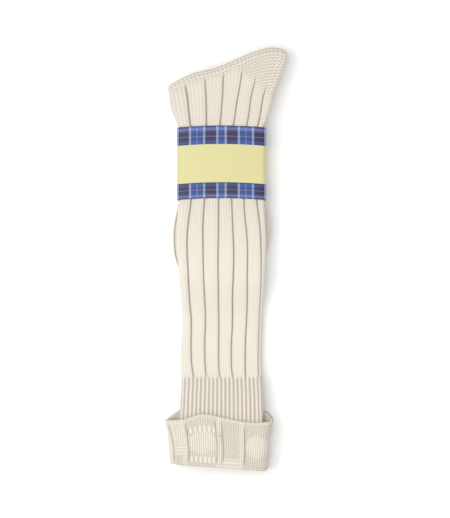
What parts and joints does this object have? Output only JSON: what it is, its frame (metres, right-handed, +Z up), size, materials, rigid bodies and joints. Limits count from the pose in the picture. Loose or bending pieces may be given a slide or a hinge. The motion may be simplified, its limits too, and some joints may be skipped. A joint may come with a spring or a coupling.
{
  "type": "pair of kilt hose socks in a card band",
  "caption": "Knitted wide-rib kilt hose folded flat, with patterned turned-down cuffs, stacked and held in a check-bordered card band.",
  "frame": {"origin": "on the surface that the pair lies on, at the centre of its box in X and Y", "axes": "+Z up off the surface, +Y from the cuffs towards the heels, +X to the right seen from above"},
  "size_m": [0.134, 0.464, 0.0386],
  "materials": {
    "hose_knit": "cream wool-mix ribbed knit, matt",
    "cuff_knit": "cream wool-mix knit in moss stitch and plain bands, matt",
    "band_card": "coated card, straw yellow with a blue and purple check along both edges, satin"
  },
  "bodies": {
    "root": {"upper_hose": "hose_knit", "upper_cuff": "cuff_knit", "under_hose": "hose_knit", "under_cuff": "cuff_knit", "card_band": "band_card"}
  },
  "joints": []
}
